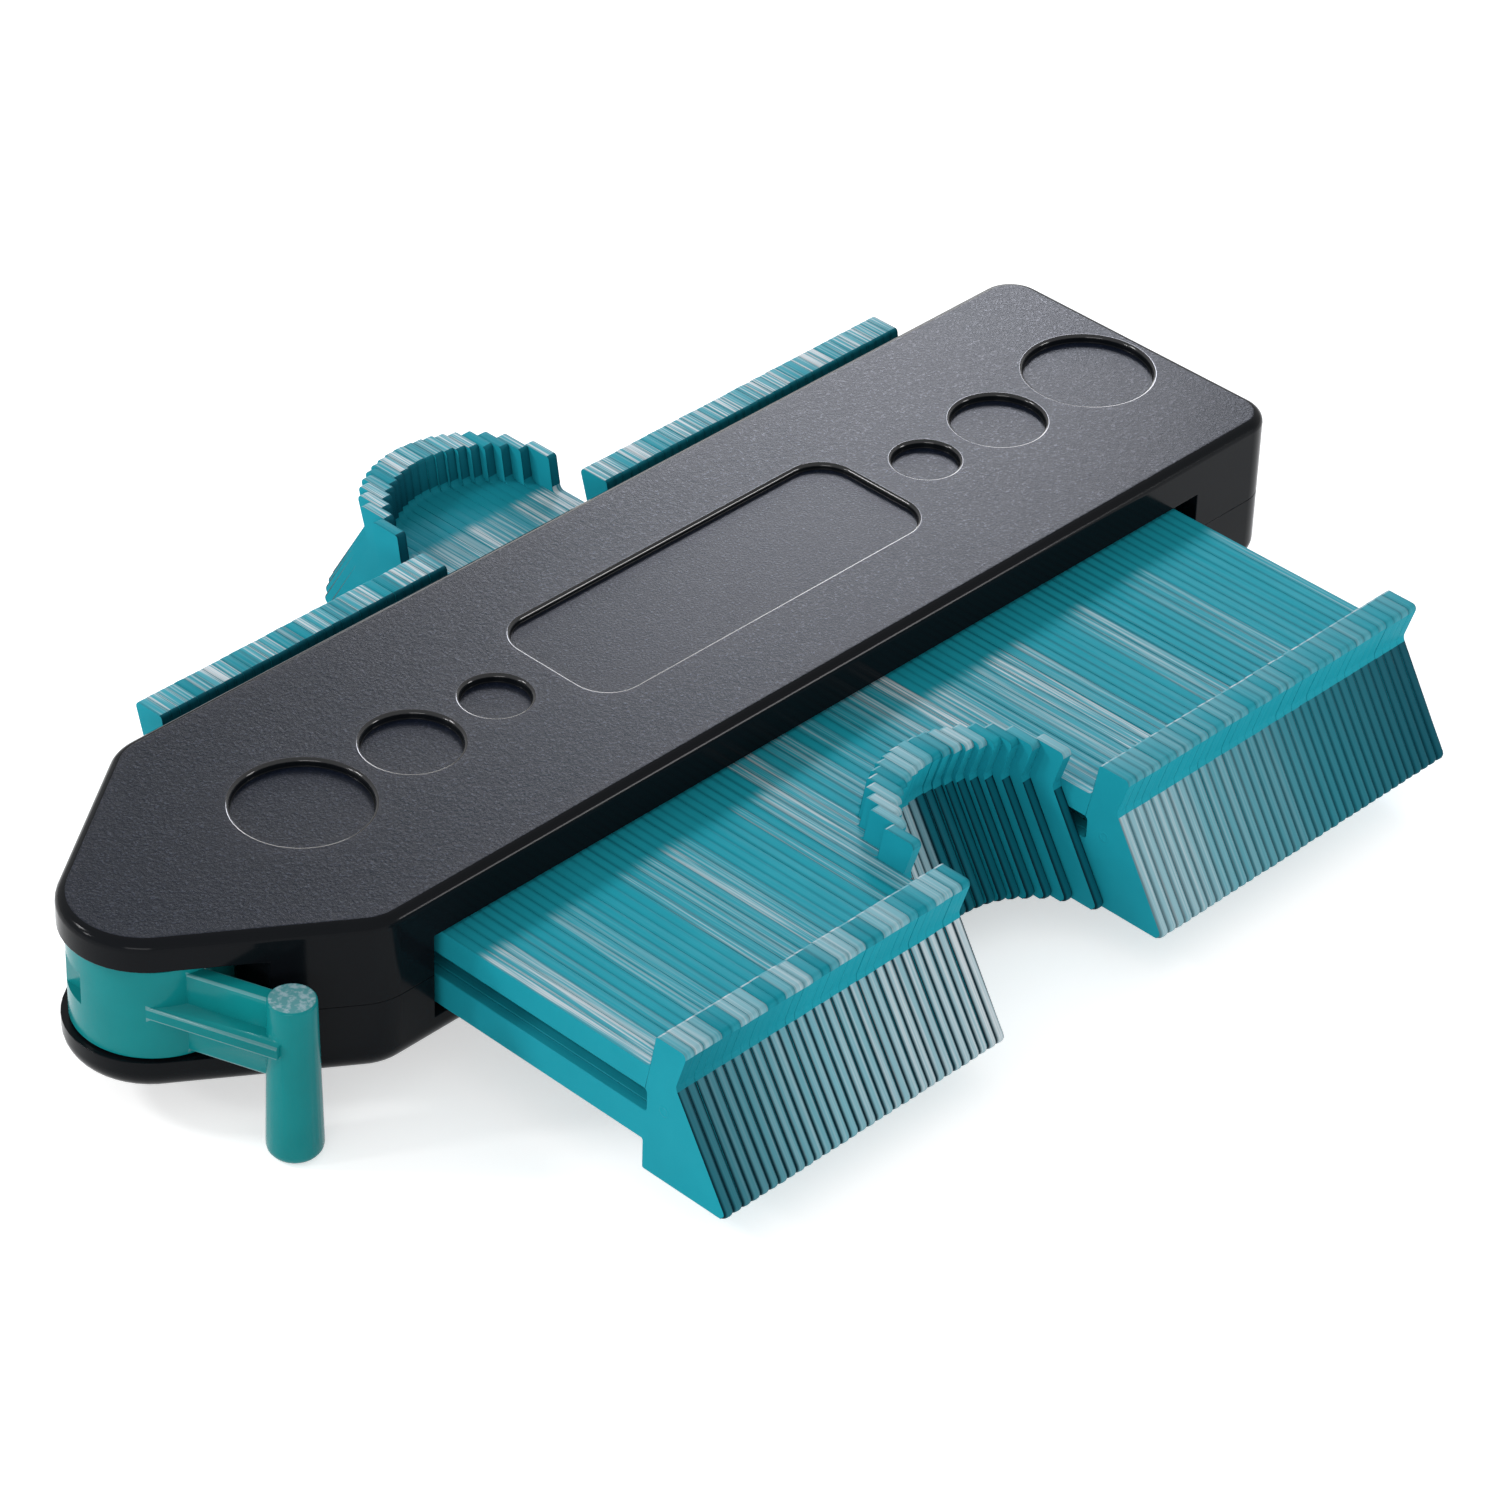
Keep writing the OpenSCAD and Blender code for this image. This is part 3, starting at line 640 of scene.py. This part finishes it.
def lamella_stack(name, node):
    """All lamellae of one node as one mesh.

    A lamella is a closed ring surface: point i runs round the outline, and point j round the
    section. The section crosses the narrow face, whose edges fall away in a curve, goes down
    the broad side to the slot, through it and back up the other side. Each lamella has its
    own slight play, lean and thickness.
    """
    low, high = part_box(node)
    count = round((high.x - low.x + LAMELLA_GAP) / LAMELLA_PITCH)
    middle = (low.y + high.y) / 2
    outer, slot, kind = lamella_outline()
    rounding = np.minimum(EDGE_ROUNDING[kind], EDGE_ROUNDING[np.roll(kind, 1)])
    face_rings = outer + FACE_FALL[:, None, None] * rounding[:, None] * inward(outer)
    slot_rings = slot - SLOT_FALL[:, None, None] * inward(slot)
    rings = np.concatenate([face_rings, slot_rings])
    share = np.concatenate([FACE_SHARE, SLOT_SHARE])
    ring_count, point_count = rings.shape[:2]

    thickness = LAMELLA_THICKNESS - RANDOM.uniform(0, 0.02, count) * MM
    across = share * thickness[:, None] / 2
    centre = (low.x + high.x) / 2 + (np.arange(count) - (count - 1) / 2) * LAMELLA_PITCH
    lean = RANDOM.normal(0, 0.015, count)
    lift = RANDOM.uniform(-0.06, 0.0, count) * MM
    in_flat_group = abs(middle - FLAT_MIDDLE) < 0.1 * MM
    play = RANDOM.uniform(0.0, 0.06, count) * MM * in_flat_group

    points = np.empty((count, ring_count, point_count, 3))
    points[..., 0] = (centre[:, None] + across)[:, :, None]
    points[..., 1] = rings[None, :, :, 0] + (middle + play)[:, None, None]
    points[..., 2] = rings[None, :, :, 1] + (lift[:, None] + lean[:, None] * across)[:, :, None]

    j, i = np.meshgrid(np.arange(ring_count), np.arange(point_count), indexing="ij")
    next_j = (j + 1) % ring_count
    next_i = (i + 1) % point_count
    corners = [j * point_count + i, j * point_count + next_i,
               next_j * point_count + next_i, next_j * point_count + i]
    quads = np.stack(corners, -1).reshape(-1, 4)
    shift = np.arange(count)[:, None, None] * ring_count * point_count
    faces = (quads[None] + shift).reshape(-1, 4)

    number = np.round((centre - STACK_LEFT) / LAMELLA_PITCH - 0.5).astype(int)
    on_narrow_face = (np.arange(ring_count) < len(FACE_SHARE) - 1)[None, :, None]
    mesh = bpy.data.meshes.new(name)
    mesh.from_pydata(points.reshape(-1, 3).tolist(), [], faces.tolist())
    side = np.where(np.arange(point_count) < point_count // 2, BACK, FRONT)
    for label, tones in (("pale", PALE), ("shade_and_soil", SHADE_AND_SOIL), ("gap_shade_and_grime", GAP)):
        by_face = tones[side, kind][:, number].T[:, None, :]
        keep_value(mesh, label, "FACE", on_narrow_face * by_face)
    keep_value(mesh, "along", "POINT", np.tile(rings[..., 0], (count, 1, 1)))
    keep_value(mesh, "across", "POINT", np.tile(share[:, None], (count, 1, point_count)))
    mesh.shade_smooth()
    mesh.set_sharp_from_angle(angle=LAMELLA_SHARP_ANGLE)
    return mesh


def keep_value(mesh, name, domain, values):
    """Keeps one value for each face or each point of a mesh under a name."""
    kept = mesh.attributes.new(name, "FLOAT", domain)
    kept.data.foreach_set("value", values.astype(float).ravel())


def put_in_scene(name, mesh, material, node):
    """Makes a piece that stands for a node and rides on the node's body."""
    obj = bpy.data.objects.new(name, mesh)
    bpy.context.scene.collection.objects.link(obj)
    mesh.materials.clear()
    mesh.materials.append(material)
    body = next(body for body, nodes in BODIES.items() if node in nodes)
    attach(obj, body)
    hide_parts(node)
    return obj


def rounded_edges(mesh, edges, width, clamp):
    """Rounds edges of a mesh being edited by a width, and gives the new faces."""
    rounded = bmesh.ops.bevel(
        mesh, geom=edges, offset=width, offset_type="OFFSET", segments=3,
        profile=0.5, affect="EDGES", clamp_overlap=clamp,
    )
    return rounded["faces"]


def bright(edge, node):
    """True for edges of the housing's top face and of the lever's arm and grip top."""
    heights = [point.co.z for point in edge.verts]
    if node == "lock_lever":
        beside_pocket = max(point.co.x for point in edge.verts) <= POCKET_X
        on_arm = edge.calc_length() > 3 * MM and not beside_pocket
        on_pin_top = max(abs(height - GRIP_TOP) for height in heights) < 0.1 * MM
        return edge.is_convex and (on_arm or on_pin_top)
    return min(heights) > TOP_FACE - 0.01 * MM


def round_drum_wall(data):
    """Gives the corners of the lever's drum wall normals that point straight away from its middle.

    A corner at (x, y) of a wall of radius r about (a, b) gets ((x - a) / r, (y - b) / r, 0).
    """
    points = np.empty(len(data.vertices) * 3)
    data.vertices.foreach_get("co", points)
    away = points.reshape(-1, 3)[:, :2] - DRUM_MIDDLE
    distance = np.linalg.norm(away, axis=1)
    on_wall = np.abs(distance - DRUM_RADIUS) < 0.03 * MM
    normals = np.array([tuple(corner.vector) for corner in data.corner_normals])
    for face in data.polygons:
        corners = list(face.loop_indices)
        around = list(face.vertices)
        if abs(face.normal.z) < 0.05 and on_wall[around].all():
            normals[corners, :2] = away[around] / distance[around, None]
            normals[corners, 2] = 0.0
    data.normals_split_custom_set(normals.tolist())


def softened_mesh(name, node, width, rim_width):
    """Copy of a node's mesh with merged points, whose sharp edges are rounded by a width.

    Bright edges have a width of their own and are marked as rims. A width of 0 leaves the
    other edges as they are. Flat faces on or just below the housing's top are marked as grained.
    """
    mesh = bmesh.new()
    mesh.from_mesh(frame["nodes"][node].data)
    bmesh.ops.remove_doubles(mesh, verts=mesh.verts, dist=0.002 * MM)
    bmesh.ops.dissolve_limit(
        mesh, angle_limit=math.radians(0.5), verts=mesh.verts, edges=mesh.edges
    )
    sharp = [
        edge for edge in mesh.edges
        if len(edge.link_faces) == 2 and edge.calc_face_angle(0) > ROUNDED_ANGLE
    ]
    rims = [edge for edge in sharp if bright(edge, node)]
    others = [edge for edge in sharp if edge not in rims]
    rim = mesh.faces.layers.float.new("rim")
    for face in rounded_edges(mesh, rims, rim_width, False):
        face[rim] = 1.0
    if width:
        rounded_edges(mesh, [edge for edge in others if edge.is_valid], width, True)
    data = bpy.data.meshes.new(name)
    mesh.to_mesh(data)
    mesh.free()
    data.shade_smooth()
    data.set_sharp_from_angle(angle=SHARP_ANGLE)
    faces = len(data.polygons)
    normals = np.empty(faces * 3)
    middles = np.empty(faces * 3)
    data.polygons.foreach_get("normal", normals)
    data.polygons.foreach_get("center", middles)
    faces_up = normals[2::3] > 0.995
    near_top = middles[2::3] > TOP_FACE - GRAIN_DEPTH
    keep_value(data, "grained", "FACE", faces_up & near_top)
    if node == "lock_lever":
        round_drum_wall(data)
    return data


def dress_gauge():
    """Every node gets its finished piece and material.

    Softened nodes have a width for the rounding of their edges and one for their bright edges.
    The lever keeps its own normals, so that its drum wall stays round.
    """
    housing = housing_plastic()
    teal = lamella_plastic()
    lever = lever_plastic()
    inner = inner_plastic()
    steel = plated_steel()
    softened = {
        "top_cover": (housing, 0.18 * MM, 0.4 * MM),
        "bottom_cover": (housing, 0.18 * MM, 0),
        "lock_lever": (lever, 0, 0.28 * MM),
        "lever_pivot_pin": (steel, 0.25 * MM, 0),
        "clamp_slider": (inner, 0.25 * MM, 0),
        "guide_rail": (steel, 0.2 * MM, 0),
        "end_stop": (inner, 0.25 * MM, 0),
        "cover_screws": (steel, 0.12 * MM, 0),
    }
    for node, (material, width, rim_width) in softened.items():
        name = node + "_finished"
        piece = put_in_scene(name, softened_mesh(name, node, width, rim_width), material, node)
        if node != "lock_lever":
            flat_faces = piece.modifiers.new("flat_faces", "WEIGHTED_NORMAL")
            flat_faces.keep_sharp = True
            flat_faces.weight = 80
    for node in sorted(frame["nodes"]):
        if node.startswith("lamella"):
            put_in_scene(node + "_finished", lamella_stack(node + "_finished", node), teal, node)


bpy.context.scene.view_settings.view_transform = "Standard"
camera()
studio()
dress_gauge()
